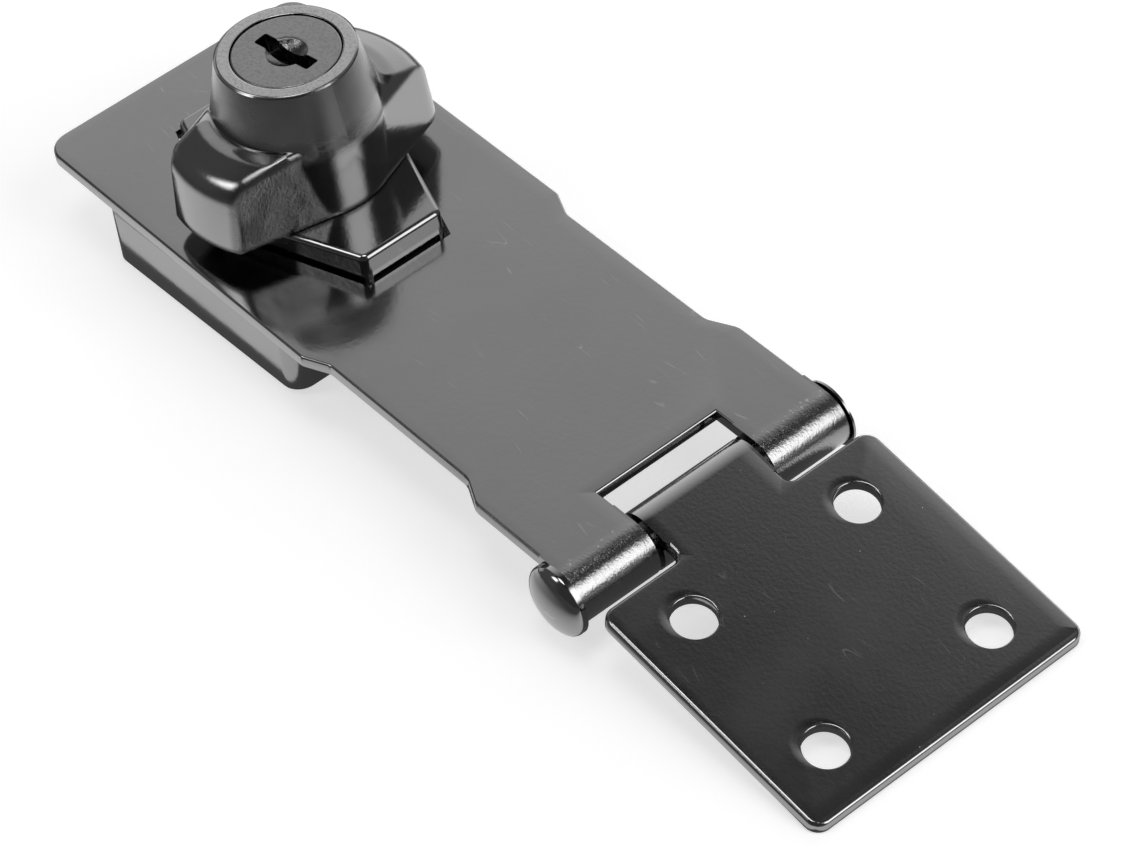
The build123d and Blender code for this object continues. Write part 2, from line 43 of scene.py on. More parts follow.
class Signal:
    """A number or colour that a shader works out at each point of a surface."""

    def __init__(self, graph: "Graph", socket: bpy.types.NodeSocket) -> None:
        """Wraps one output socket.

        Args:
            graph: The node graph that the socket belongs to.
            socket: The output socket to wrap.
        """
        self.graph = graph
        self.socket = socket

    def math(self, operation: str, other: Operand = 0.0, swapped: bool = False) -> "Signal":
        """Adds a Math node on this signal.

        Args:
            operation: The Math node's operation.
            other: The second operand.
            swapped: True if the other operand comes first.

        Returns:
            The node's result.
        """
        first, second = (other, self) if swapped else (self, other)
        return self.graph.out("ShaderNodeMath", {"operation": operation}, {0: first, 1: second})

    def __add__(self, other: Operand) -> "Signal":
        """The sum of two values."""
        return self.math("ADD", other)

    def __radd__(self, other: Operand) -> "Signal":
        """The sum, with the plain number first."""
        return self.math("ADD", other, swapped=True)

    def __sub__(self, other: Operand) -> "Signal":
        """The difference of two values."""
        return self.math("SUBTRACT", other)

    def __rsub__(self, other: Operand) -> "Signal":
        """The difference, with the plain number first."""
        return self.math("SUBTRACT", other, swapped=True)

    def __mul__(self, other: Operand) -> "Signal":
        """The product of two values."""
        return self.math("MULTIPLY", other)

    def __rmul__(self, other: Operand) -> "Signal":
        """The product, with the plain number first."""
        return self.math("MULTIPLY", other, swapped=True)

    def __truediv__(self, other: Operand) -> "Signal":
        """The quotient of two values."""
        return self.math("DIVIDE", other)

    def __rtruediv__(self, other: Operand) -> "Signal":
        """The quotient, with the plain number first."""
        return self.math("DIVIDE", other, swapped=True)

    def __pow__(self, other: Operand) -> "Signal":
        """This value to a power."""
        return self.math("POWER", other)

    def __rpow__(self, other: Operand) -> "Signal":
        """A plain number to the power of this value."""
        return self.math("POWER", other, swapped=True)

    def __abs__(self) -> "Signal":
        """The size of the value without its sign."""
        return self.math("ABSOLUTE")

    def least(self, other: Operand) -> "Signal":
        """The smaller of two values."""
        return self.math("MINIMUM", other)

    def most(self, other: Operand) -> "Signal":
        """The larger of two values."""
        return self.math("MAXIMUM", other)

    def held(self) -> "Signal":
        """The value, kept between 0 and 1."""
        return self.most(0.0).least(1.0)

    def diagonal(self, other: "Signal") -> "Signal":
        """The length of the diagonal over two sides at a right angle."""
        return (self * self + other * other).math("SQRT")

    def over(self, low: float, high: float) -> "Signal":
        """Rises smoothly from 0 at low to 1 at high.

        Args:
            low: The value that gives 0.
            high: The value that gives 1.

        Returns:
            The smooth step.
        """
        return self.graph.span(self, low, high, 0.0, 1.0, smooth=True)

    def under(self, low: float, high: float) -> "Signal":
        """Falls smoothly from 1 at low to 0 at high."""
        return self.graph.span(self, low, high, 1.0, 0.0, smooth=True)

    def within(self, half_width: float, softness: float) -> "Signal":
        """Finds values close to 0.

        Args:
            half_width: How far from 0 a value may be.
            softness: How far the limit is blurred to each side.

        Returns:
            1 close to 0, falling smoothly to 0 beyond the limit.
        """
        return abs(self).under(half_width - softness, half_width + softness)


class Graph:
    """The node graph of one material, of the world or of a modifier."""

    def __init__(self, tree: bpy.types.NodeTree) -> None:
        """Empties the tree, so that every node comes from here.

        Args:
            tree: The node tree to fill.
        """
        self.tree = tree
        tree.nodes.clear()

    def node(
        self, kind: str, settings: Optional[dict] = None, sockets: Optional[dict] = None
    ) -> bpy.types.Node:
        """Makes one node.

        Args:
            kind: The node's type.
            settings: Its settings, which are set first.
            sockets: Values or links, by socket name or number.

        Returns:
            The node.
        """
        made = self.tree.nodes.new(kind)
        for name, value in (settings or {}).items():
            setattr(made, name, value)
        for key, value in (sockets or {}).items():
            socket = made.inputs[key]
            if isinstance(value, Signal):
                self.tree.links.new(value.socket, socket)
            elif isinstance(value, bpy.types.NodeSocket):
                self.tree.links.new(value, socket)
            elif socket.type == "RGBA":
                socket.default_value = (*value, 1.0)
            else:
                socket.default_value = value
        return made

    def out(
        self,
        kind: str,
        settings: Optional[dict] = None,
        sockets: Optional[dict] = None,
        name: Union[str, int] = 0,
    ) -> Signal:
        """Makes a node and wraps one of its outputs.

        Args:
            kind: The node's type.
            settings: Its settings.
            sockets: Values or links of its inputs.
            name: The output's name or number.

        Returns:
            The output as a signal.
        """
        return Signal(self, self.node(kind, settings, sockets).outputs[name])

    def span(
        self, value: Signal, low: float, high: float, start: float, end: float, smooth: bool = False
    ) -> Signal:
        """Maps a value from one range to another, and holds it at the ends.

        Args:
            value: What is mapped.
            low: Start of the range that comes in.
            high: End of the range that comes in.
            start: What low becomes.
            end: What high becomes.
            smooth: True for a soft start and end.

        Returns:
            The mapped value.
        """
        settings = {"interpolation_type": "SMOOTHSTEP" if smooth else "LINEAR", "clamp": True}
        sockets = {0: value, 1: low, 2: high, 3: start, 4: end}
        return self.out("ShaderNodeMapRange", settings, sockets)

    def place(self) -> Signal:
        """The point on the object, in metres."""
        return self.out("ShaderNodeTexCoord", name="Object")

    def along(self, point: Signal) -> tuple[Signal, Signal, Signal]:
        """The three parts of a place or direction.

        Args:
            point: The place or direction.

        Returns:
            X, Y and Z.
        """
        parts = self.node("ShaderNodeSeparateXYZ", {}, {0: point})
        return tuple(Signal(self, part) for part in parts.outputs)

    def height(self, point: Signal) -> Signal:
        """The height of a place over the base's underside."""
        return self.along(point)[2]

    def upward(self) -> Signal:
        """How far the surface faces up: 1 where it is level, 0 where it is upright."""
        return self.along(self.out("ShaderNodeNewGeometry", name="True Normal"))[2]

    def ray_is(self, kind: str) -> Signal:
        """Whether the ray that looks is of one kind.

        Args:
            kind: "Camera", "Glossy" or "Transmission".

        Returns:
            1 for such a ray and 0 for others.
        """
        return self.out("ShaderNodeLightPath", name=f"Is {kind} Ray")

    def stretched(self, point: Signal, factors: Colour, turn: float = 0.0) -> Signal:
        """Turns and stretches the place that a texture reads.

        Args:
            point: The place to change.
            factors: How much each axis is stretched.
            turn: Angle about Z, in degrees.

        Returns:
            The changed place.
        """
        rotation = (0.0, 0.0, math.radians(turn))
        sockets = {"Vector": point, "Rotation": rotation, "Scale": factors}
        return self.out("ShaderNodeMapping", {"vector_type": "POINT"}, sockets)

    def noise(self, point: Signal, size: float, detail: float = 2.0, rough: float = 0.5) -> Signal:
        """Soft noise.

        Args:
            point: The place that it reads.
            size: Rough size of its features, in metres.
            detail: Number of finer layers.
            rough: Weight of the finer layers.

        Returns:
            Values about 0.5.
        """
        sockets = {"Vector": point, "Scale": 1.0 / size, "Detail": detail, "Roughness": rough}
        return self.out("ShaderNodeTexNoise", {}, sockets, "Fac")

    def cells(self, point: Signal, size: float) -> tuple[Signal, Signal]:
        """Scattered points.

        Args:
            point: The place that it reads.
            size: Distance between the points, in metres.

        Returns:
            The distance to the nearest point in cell sizes, and its own number from 0 to 1.
        """
        sockets = {"Vector": point, "Scale": 1.0 / size}
        made = self.node("ShaderNodeTexVoronoi", {"feature": "F1"}, sockets)
        shade = self.out("ShaderNodeSeparateColor", {}, {0: Signal(self, made.outputs["Color"])})
        return Signal(self, made.outputs["Distance"]), shade

    def blend(self, factor: Operand, first: Operand, second: Operand) -> Signal:
        """Mixes two colours or normals.

        Args:
            factor: 0 for the first, 1 for the second.
            first: What a factor of 0 gives.
            second: What a factor of 1 gives.

        Returns:
            The mix.
        """
        sockets = {0: factor, 6: first, 7: second}
        return self.out("ShaderNodeMix", {"data_type": "RGBA"}, sockets, 2)

    def bump(self, height: Signal, depth: float, onto: Optional[Signal] = None) -> Signal:
        """Turns a height into a normal.

        Args:
            height: Height from 0 to 1.
            depth: How deep a height of 1 is, in metres.
            onto: A normal that this one is laid on.

        Returns:
            The normal.
        """
        sockets: dict = {"Height": height, "Distance": depth, "Strength": 1.0}
        if onto is not None:
            sockets["Normal"] = onto
        return self.out("ShaderNodeBump", {}, sockets, "Normal")


class Lay(Enum):
    """How the fine lines of a finish run: the stretch of X and their size in metres."""

    RANDOM = (1.0, 0.00035)
    ALONG = (0.04, 0.00022)


@dataclass(frozen=True)
class Spots:
    """Small round spots, scattered over a surface. Radii are shares of their spacing."""

    least: float
    spread: float
    edge: float
    shown: tuple[float, float]
    roughness: float

    def cover(self, graph: Graph, point: Signal, spacing: float) -> Signal:
        """Finds the spots.

        Args:
            graph: The material's graph.
            point: The point on the object.
            spacing: Distance between the spots, in metres.

        Returns:
            1 on a spot and 0 beside it.
        """
        apart, number = graph.cells(point, spacing)
        radius = number * self.spread + self.least
        return (radius - apart).over(0.0, self.edge) * number.over(*self.shown)


PITS = Spots(least=0.008, spread=0.03, edge=0.012, shown=(0.3, 0.35), roughness=0.3)
DUST = Spots(least=0.004, spread=0.05, edge=0.02, shown=(0.45, 0.5), roughness=0.45)


@dataclass(frozen=True)
class MetalFinish:
    """A plated or bare metal with its small faults. Lengths are in metres."""

    name: str
    tone: Colour
    roughness: float
    peel: float = 0.1
    peel_size: float = 0.0011
    cast_waves: float = 0.0
    pits: float = 0.0
    pit_spacing: float = 0.0019
    specks: float = 0.0
    speck_spacing: float = 0.0013
    scratches: float = 0.0
    grain: float = 0.0
    lay: Lay = Lay.RANDOM
    smears: float = 0.05

    PEEL_DEPTH: ClassVar[float] = 0.00002
    WAVE_SIZE: ClassVar[float] = 0.0045
    WAVE_DEPTH: ClassVar[float] = 0.0002
    SMEAR_SIZE: ClassVar[float] = 0.009
    SMEAR_DULL: ClassVar[tuple[float, float]] = (0.35, 0.7)
    SMEAR_DARK: ClassVar[tuple[float, float]] = (0.3, 0.75)
    SMEAR_WEIGHT: ClassVar[float] = 0.3
    SMEAR_SHADE: ClassVar[float] = 0.9
    HAIR_RUNS: ClassVar[tuple] = ((24.0, 0.0031), (-51.0, 0.0043), (83.0, 0.0052))
    HAIR_STRETCH: ClassVar[Colour] = (0.11, 1.0, 0.35)
    HAIR_WIDTH: ClassVar[float] = 0.0035
    HAIR_BREAK_SIZE: ClassVar[float] = 0.0035
    HAIR_BREAKS: ClassVar[tuple[float, float]] = (0.58, 0.68)
    HAIR_TONE: ClassVar[float] = 0.6
    HAIR_ROUGHNESS: ClassVar[float] = 0.25
    PIT_SHADE: ClassVar[float] = 0.3
    DUST_TONE: ClassVar[Colour] = (0.62, 0.62, 0.6)
    GRAIN_DEPTH: ClassVar[float] = 0.00001
    GRAIN_ROUGHNESS: ClassVar[float] = 0.3

    def material(self) -> bpy.types.Material:
        """Builds the material.

        Returns:
            The material, ready to assign.
        """
        made = bpy.data.materials.new(self.name)
        made.use_nodes = True
        graph = Graph(made.node_tree)
        point = graph.place()
        tone, rough = self._faults(graph, point)
        normal = self._relief(graph, point)
        if self.grain:
            normal, rough = self._grain(graph, point, normal, rough)
        sockets = {"Base Color": tone, "Roughness": rough, "Normal": normal, "Metallic": 1.0}
        shader = graph.node("ShaderNodeBsdfPrincipled", {}, sockets)
        graph.node("ShaderNodeOutputMaterial", {}, {"Surface": shader.outputs[0]})
        return made

    def _plating(self, graph: Graph, point: Signal, onto: Optional[Signal] = None) -> Signal:
        """The orange peel of the plating and the waves of a casting.

        Args:
            graph: The material's graph.
            point: The point on the object.
            onto: A normal that they are laid on.

        Returns:
            The normal.
        """
        peel = graph.noise(point, self.peel_size)
        normal = graph.bump(peel, self.PEEL_DEPTH * self.peel, onto=onto)
        if self.cast_waves:
            waves = graph.noise(point, self.WAVE_SIZE, rough=0.45)
            normal = graph.bump(waves, self.WAVE_DEPTH * self.cast_waves, onto=normal)
        return normal

    def _relief(self, graph: Graph, point: Signal) -> Signal:
        """The relief of the whole surface.

        Args:
            graph: The material's graph.
            point: The point on the object.

        Returns:
            The normal.
        """
        return self._plating(graph, point)

    def _faults(self, graph: Graph, point: Signal) -> tuple[Signal, Signal]:
        """Smears, scratches, pits and dust.

        Args:
            graph: The material's graph.
            point: The point on the object.

        Returns:
            The colour and the roughness.
        """
        cloud = graph.noise(point, self.SMEAR_SIZE, 3.0, 0.55)
        rough = cloud.over(*self.SMEAR_DULL) * self.smears + (self.roughness - self.smears / 2)
        shade = cloud.over(*self.SMEAR_DARK) * self.SMEAR_WEIGHT
        tone = graph.blend(shade, self.tone, darker(self.tone, self.SMEAR_SHADE))
        if self.scratches:
            hair = self._hairs(graph, point)
            tone = graph.blend(hair * self.scratches, tone, grey(self.HAIR_TONE))
            rough = rough + hair * (self.HAIR_ROUGHNESS * self.scratches)
        if self.pits:
            pit = PITS.cover(graph, point, self.pit_spacing)
            tone = graph.blend(pit * self.pits, tone, darker(self.tone, self.PIT_SHADE))
            rough = rough + pit * PITS.roughness
        if self.specks:
            speck = DUST.cover(graph, point, self.speck_spacing)
            tone = graph.blend(speck * self.specks, tone, self.DUST_TONE)
            rough = rough + speck * DUST.roughness
        return tone, rough

    def _hairs(self, graph: Graph, point: Signal) -> Signal:
        """Fine hair scratches in a few directions, broken up along their length.

        Args:
            graph: The material's graph.
            point: The point on the object.

        Returns:
            1 on a scratch and 0 beside it.
        """
        lines = None
        for turn, spacing in self.HAIR_RUNS:
            drawn = graph.stretched(point, self.HAIR_STRETCH, turn)
            band = abs(graph.noise(drawn, spacing, 1.0, 0.4) - 0.5).under(0.0, self.HAIR_WIDTH)
            line = band * graph.noise(point, self.HAIR_BREAK_SIZE, 1.0).over(*self.HAIR_BREAKS)
            lines = line if lines is None else lines.most(line)
        return lines

    def _grain(
        self, graph: Graph, point: Signal, normal: Signal, rough: Signal
    ) -> tuple[Signal, Signal]:
        """Fine lines or grains of a worked surface.

        Args:
            graph: The material's graph.
            point: The point on the object.
            normal: The normal so far.
            rough: The roughness so far.

        Returns:
            The new normal and roughness.
        """
        stretch, size = self.lay.value
        lines = graph.noise(graph.stretched(point, (stretch, 1.0, 1.0)), size, 3.0, 0.6)
        added = (lines - 0.5) * (self.GRAIN_ROUGHNESS * self.grain)
        return graph.bump(lines, self.GRAIN_DEPTH * self.grain, onto=normal), rough + added


@dataclass(frozen=True)
class PlateFinish(MetalFinish):
    """A stamped plate, whose surface rolls off towards its cut edges."""

    roll_width: float = 0.0015
    roll_depth: float = 0.00008

    def _inside(self, graph: Graph, point: Signal) -> Signal:
        """The distance from the nearest cut edge.

        Args:
            graph: The material's graph.
            point: The point on the object.

        Returns:
            The distance in metres.
        """
        raise NotImplementedError

    def _relief(self, graph: Graph, point: Signal) -> Signal:
        """The plating's relief and the roll of the edges."""
        normal = super()._relief(graph, point)
        near = (self._inside(graph, point) / self.roll_width).held()
        return graph.bump(near * (2.0 - near), self.roll_depth, onto=normal)


@dataclass(frozen=True)
class LeafFinish(PlateFinish):
    """The leaf's plating, with soft rims round its four holes."""

    hinge: float = 0.05643
    pitch: float = 13.0
    near: float = 0.0049
    far: float = 0.034
    half_width: float = 0.0165
    tongue: float = 0.00665
    hole_centre: float = 0.0193
    hole_pitch: tuple[float, float] = (0.0175, 0.02)
    hole_radius: float = 0.00225
    hole_sharpness: float = 1.7
    hole_start: float = 0.0007

    def _inside(self, graph: Graph, point: Signal) -> Signal:
        """The distance from the leaf's outline or from a hole's rim."""
        east, north, _ = graph.along(point)
        out = (east - self.hinge) / math.cos(math.radians(self.pitch))
        aside = abs(north)
        shoulder = (out - self.near).most(self.tongue - aside)
        edge = (self.far - out).least(self.half_width - aside).least(shoulder)
        across = abs(out - self.hole_centre) - self.hole_pitch[0] / 2
        rim = across.diagonal(aside - self.hole_pitch[1] / 2) - self.hole_radius
        return edge.least(rim * self.hole_sharpness + self.hole_start)


@dataclass(frozen=True)
class StrapFinish(PlateFinish):
    """The strap's plating, crinkled and scratched where the sheet is rolled."""

    end: float = -0.02357
    half_width: float = 0.016
    waist_from: float = 0.0182
    waist_to: float = 0.021
    waist_step: float = 0.00125
    flare_from: float = 0.0413
    flare_to: float = 0.0443
    flare_step: float = 0.0015
    cutout_face: float = 0.0511
    cutout_half_width: float = 0.00725
    bend: float = 0.0562
    bend_edge: float = 0.0005
    crinkle: float = 0.000032
    crinkle_size: float = 0.00035
    crinkle_stretch: Colour = (1.0, 1.6, 1.0)
    crinkle_turn: float = 20.0
    burr_width: float = 0.0008
    burr_size: float = 0.0004
    burr_stretch: Colour = (0.7, 1.0, 1.0)
    burr_turn: float = 35.0
    burr_cut: tuple[float, float] = (0.62, 0.7)
    burr_tone: float = 0.7
    burr_weight: float = 0.7
    burr_roughness: float = 0.3

    def _inside(self, graph: Graph, point: Signal) -> Signal:
        """The distance from the strap's outline or from its cut-out."""
        east, north, _ = graph.along(point)
        aside = abs(north)
        waist = graph.span(east, self.waist_from, self.waist_to, 0.0, self.waist_step)
        flare = graph.span(east, self.flare_from, self.flare_to, 0.0, self.flare_step)
        side = self.half_width - waist + flare - aside
        cutout = (self.cutout_face - east).most(aside - self.cutout_half_width)
        return side.least(east - self.end).least(cutout)

    def _relief(self, graph: Graph, point: Signal) -> Signal:
        """The plate's relief and the crinkles of the rolled knuckles."""
        east, _, _ = graph.along(point)
        rolled = east.over(self.bend - self.bend_edge, self.bend + self.bend_edge)
        drawn = graph.stretched(point, self.crinkle_stretch, self.crinkle_turn)
        crinkles = graph.noise(drawn, self.crinkle_size, 3.0, 0.6)
        return graph.bump(crinkles * rolled, self.crinkle, onto=super()._relief(graph, point))

    def _faults(self, graph: Graph, point: Signal) -> tuple[Signal, Signal]:
        """The plating's faults, and the burrs that the bending tool left."""
        tone, rough = super()._faults(graph, point)
        east, _, _ = graph.along(point)
        line = abs(east - self.bend).under(0.0, self.burr_width)
        drawn = graph.stretched(point, self.burr_stretch, self.burr_turn)
        burrs = line * graph.noise(drawn, self.burr_size, rough=0.6).over(*self.burr_cut)
        tone = graph.blend(burrs * self.burr_weight, tone, grey(self.burr_tone))
        return tone, rough + burrs * self.burr_roughness


@dataclass(frozen=True)
class RimFinish(MetalFinish):
    """A metal whose flat top rolls off at its round rims."""

    rim_inner: float = 0.0
    rim_outer: float = 0.01
    rim_level: float = 0.0
    rim_width: float = 0.00022
    rim_depth: float = 0.00009
    # the flat top's tone: on the knob it is lighter than the casting, a painted sheen
    top_tone_and_sheen: float = 0.28
    rim_satin: float = 0.1
    satin_size: float = 0.00025
    satin_range: tuple[float, float] = (0.3, 0.75)
    satin_spread: float = 0.4
    satin_least: float = 0.8

    def _out(self, graph: Graph, point: Signal) -> Signal:
        """The distance of a point from the lock's axis."""
        east, north, _ = graph.along(point)
        return east.diagonal(north)

    def _rims(self, graph: Graph, point: Signal, normal: Signal) -> Signal:
        """Rolls the top off at its rims.

        Args:
            graph: The material's graph.
            point: The point on the object.
            normal: The normal so far.

        Returns:
            The new normal.
        """
        flat = self._flat(graph, point)
        return graph.bump(flat * (2.0 - flat), self.rim_depth, onto=normal)

    def _flat(self, graph: Graph, point: Signal) -> Signal:
        """Finds the flat top.

        Args:
            graph: The material's graph.
            point: The point on the object.

        Returns:
            1 on the flat, falling to 0 at its rims and 0 below it.
        """
        out = self._out(graph, point)
        near = (self.rim_outer - out).least(out - self.rim_inner) / self.rim_width
        return near.held() * graph.height(point).math("GREATER_THAN", self.rim_level)

    def _relief(self, graph: Graph, point: Signal) -> Signal:
        """The plating's relief and the rolled rims."""
        return self._rims(graph, point, super()._relief(graph, point))

    def _faults(self, graph: Graph, point: Signal) -> tuple[Signal, Signal]:
        """The plating's faults, and the flat top's own grainy tone, which on the knob is lighter
        than the casting as a painted sheen.
        """
        tone, rough = super()._faults(graph, point)
        top = self._flat(graph, point)
        grain = graph.noise(point, self.satin_size, rough=0.6).over(*self.satin_range)
        level = grain * self.satin_spread + self.satin_least
        # painted sheen: the flat top gets its own grainy tone, lighter than the casting on the
        # knob; the grain varies it at random
        top_grain_and_sheen = graph.blend(level, BLACK, grey(self.top_tone_and_sheen))
        return graph.blend(top, tone, top_grain_and_sheen), rough + top * self.rim_satin


@dataclass(frozen=True)
class PlugFinish(RimFinish):
    """The plug's plating, with a grainy dimple that painted shade darkens."""

    dimple: float = 0.00225
    dimple_edge: float = 0.0002
    dimple_grain: float = 0.00003
    dimple_size: float = 0.00014
    # the dimple's darker tone is painted shade
    dimple_painted_shade: float = 0.16

    def _dimple(self, graph: Graph, point: Signal) -> Signal:
        """1 within the dimple's rim and 0 outside it."""
        return self._out(graph, point).under(self.dimple - self.dimple_edge, self.dimple)

    def _relief(self, graph: Graph, point: Signal) -> Signal:
        """The plug's relief and the grain of its dimple."""
        grains = graph.noise(point, self.dimple_size, 1.0) * self._dimple(graph, point)
        return graph.bump(grains, self.dimple_grain, onto=super()._relief(graph, point))

    def _faults(self, graph: Graph, point: Signal) -> tuple[Signal, Signal]:
        """The plug's faults, and painted shade that darkens the dimple."""
        tone, rough = super()._faults(graph, point)
        # painted shade: the dimple, a recess below the top, is set to a darker tone
        below = graph.height(point).math("LESS_THAN", self.rim_level)
        inside = self._dimple(graph, point) * below
        return graph.blend(inside, tone, grey(self.dimple_painted_shade)), rough


@dataclass(frozen=True)
class KnobFinish(RimFinish):
    """The knob's plated casting, whose edges shade as round, with crinkled wing faces darkened by
    painted shade.
    """

    edge: float = 0.0009
    edge_level: float = 0.0198
    edge_fade: float = 0.0008
    edge_samples: int = 6
    crinkle: float = 0.000012
    crinkle_size: float = 0.00035
    face_azimuth: float = -14.0
    face_from: float = 0.0076
    face_full: float = 0.0083
    face_start: float = 0.003
    face_blur: float = 0.0015
    face_drop: tuple[float, float] = (0.002, 0.0005)
    # the wing faces' darker tone is painted shade
    face_painted_shade: float = 0.2
    cone_fade: float = 0.001
    cone_rough: float = 0.15
    shelf: tuple[float, float] = (0.0083, 0.0102)
    shelf_rise: float = 0.0003
    level_from: tuple[float, float] = (0.75, 0.9)
    patch_size: float = 0.003
    patch_range: tuple[float, float] = (0.35, 0.6)
    patch_spread: float = 0.8
    patch_least: float = 0.2
    fold_width: float = 0.14

    def _face(self, graph: Graph, point: Signal) -> Signal:
        """Finds the faces of the wings.

        Args:
            graph: The material's graph.
            point: The point on the object.

        Returns:
            1 on the two faces, falling softly to 0 beside them.
        """
        east, north, height = graph.along(point)
        turn = math.radians(self.face_azimuth)
        out = abs(east * math.cos(turn) + north * math.sin(turn))
        face = out.over(self.face_from, self.face_full)
        low, high = self.face_drop
        below = height.under(self.edge_level - low, self.edge_level - high)
        return face * below * abs(north).over(self.face_start, self.face_start + self.face_blur)

    def _faults(self, graph: Graph, point: Signal) -> tuple[Signal, Signal]:
        """The casting's faults, its dull cone and the painted shade that darkens its wing faces."""
        tone, rough = super()._faults(graph, point)
        height = graph.height(point)
        above = height.over(self.edge_level, self.edge_level + self.cone_fade)
        cone = above * height.math("LESS_THAN", self.rim_level)
        # painted shade: the wing faces are set to a darker tone
        tone = graph.blend(self._face(graph, point), tone, grey(self.face_painted_shade))
        return tone, rough + cone * self.cone_rough

    def _relief(self, graph: Graph, point: Signal) -> Signal:
        """The rounded edges, the casting's relief, its shelf and rims, and its crinkled faces."""
        fade = (self.edge_level - self.edge_fade, self.edge_level)
        radius = graph.span(graph.height(point), *fade, self.edge, 0.0)
        settings = {"samples": self.edge_samples}
        normal = graph.out("ShaderNodeBevel", settings, {"Radius": radius}, "Normal")
        normal = self._plating(graph, point, onto=normal)
        level = graph.bump(self._out(graph, point).over(*self.shelf), self.shelf_rise, onto=normal)
        normal = graph.blend(graph.upward().over(*self.level_from), normal, level)
        normal = self._rims(graph, point, normal)
        patches = graph.noise(point, self.patch_size, 1.0).over(*self.patch_range)
        patches = patches * self.patch_spread + self.patch_least
        folds = abs(graph.noise(point, self.crinkle_size, rough=0.6) - 0.5)
        folds = folds.under(0.0, self.fold_width)
        return graph.bump(folds * self._face(graph, point) * patches, self.crinkle, onto=normal)


@dataclass(frozen=True)
class BaseFinish(MetalFinish):
    """The base's plated casting, with painted shade darkening the walls of the boss."""

    boss_foot: float = 0.009
    foot_edge: float = 0.0003
    upright: tuple[float, float] = (0.25, 0.5)
    # the boss walls' darker tone is painted shade
    wall_painted_shade: float = 0.19

    def _faults(self, graph: Graph, point: Signal) -> tuple[Signal, Signal]:
        """The casting's faults, and painted shade on the upright walls of the boss."""
        tone, rough = super()._faults(graph, point)
        above = graph.height(point).over(self.boss_foot - self.foot_edge, self.boss_foot)
        # painted shade: upright faces above the boss's foot are set to a darker tone
        wall = graph.upward().under(*self.upright) * above
        return graph.blend(wall, tone, grey(self.wall_painted_shade)), rough


class SoftEdges:
    """Shades chamfers as rounds and keeps square edges sharp, with modifiers alone."""

    SHARP_ANGLE: ClassVar[float] = math.radians(52.0)
    FLAT_ANGLE: ClassVar[float] = math.radians(1.0)
    MERGE: ClassVar[float] = 0.000001
    WEIGHT: ClassVar[int] = 90

    def __init__(self) -> None:
        """Builds the node group that the modifiers share."""
        self.group = bpy.data.node_groups.new("soft_edges", "GeometryNodeTree")
        for way in ("INPUT", "OUTPUT"):
            self.group.interface.new_socket(
                "Geometry", in_out=way, socket_type="NodeSocketGeometry"
            )
        graph = Graph(self.group)
        sockets = {"Geometry": graph.out("NodeGroupInput"), "Distance": self.MERGE}
        joined = graph.out("GeometryNodeMergeByDistance", {}, sockets)
        sockets = {"Geometry": joined, "Shade Smooth": True}
        smooth = graph.out("GeometryNodeSetShadeSmooth", {"domain": "FACE"}, sockets)
        angle = graph.out("GeometryNodeInputMeshEdgeAngle", name="Unsigned Angle")
        settings = {"operation": "GREATER_THAN"}
        steep = graph.out("FunctionNodeCompare", settings, {0: angle, 1: self.SHARP_ANGLE})
        sockets = {"Geometry": smooth, "Selection": steep, "Shade Smooth": False}
        sharp = graph.out("GeometryNodeSetShadeSmooth", {"domain": "EDGE"}, sockets)
        graph.node("NodeGroupOutput", {}, {0: sharp})

    def apply(self, solid: bpy.types.Object) -> None:
        """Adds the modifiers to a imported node.

        Args:
            solid: The node's object.
        """
        soft = solid.modifiers.new("soft edges", "NODES")
        soft.node_group = self.group
        flat = solid.modifiers.new("whole flats", "DECIMATE")
        flat.decimate_type = "DISSOLVE"
        flat.angle_limit = self.FLAT_ANGLE
        weighted = solid.modifiers.new("weighted normals", "WEIGHTED_NORMAL")
        weighted.mode = "FACE_AREA"
        weighted.keep_sharp = True
        weighted.weight = self.WEIGHT


@dataclass
class Assembly:
    """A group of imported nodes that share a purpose."""

    title: str
    nodes: dict[str, MetalFinish] = field(default_factory=dict)
    soft: bool = True

    def dress(self, packed: dict[str, bpy.types.Object], edges: SoftEdges) -> None:
        """Gives each node its finish, and soft shading where it suits.

        Args:
            packed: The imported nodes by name.
            edges: The shading of the edges.
        """
        for name, finish in self.nodes.items():
            solid = packed[name]
            solid.data.materials.clear()
            solid.data.materials.append(finish.material())
            if self.soft:
                edges.apply(solid)
            log.info("%s: %s has %s", self.title, name, finish.name)


@dataclass
class Camera:
    """The camera at the photograph's place."""

    place: tuple[float, float, float] = (0.300664, -0.180705, 0.308673)
    turn: tuple[float, float, float] = (0.79712345, 0.10477492, 0.86602249)
    lens: float = 148.031
    sensor: float = 36.0
    nearest: float = 0.01

    def build(self) -> None:
        """Makes the camera and sets it as the scene's."""
        data = bpy.data.cameras.new("camera")
        data.lens = self.lens
        data.sensor_width = self.sensor
        data.clip_start = self.nearest
        made = bpy.data.objects.new("camera", data)
        made.location = self.place
        made.rotation_euler = self.turn
        bpy.context.scene.collection.objects.link(made)
        bpy.context.scene.camera = made
        log.info("studio: camera")


class Sky:
    """The directions of the world's light, as signals of its graph."""

    def __init__(self, graph: Graph) -> None:
        """Reads the direction of each ray.

        Args:
            graph: The world's graph.
        """
        ray = graph.out("ShaderNodeTexCoord", name="Generated")
        self.east, self.north, up = graph.along(ray)
        self.height = up.math("ARCSINE") * DEGREES

    def bearing(self, azimuth: float) -> Signal:
        """The angle of each ray from an azimuth.

        Args:
            azimuth: The azimuth in degrees, from +X towards +Y.

        Returns:
            The angle in degrees, from -180 to 180.
        """
        turn = math.radians(azimuth)
        ahead = self.east * math.cos(turn) + self.north * math.sin(turn)
        aside = self.north * math.cos(turn) - self.east * math.sin(turn)
        return aside.math("ARCTAN2", ahead) * DEGREES


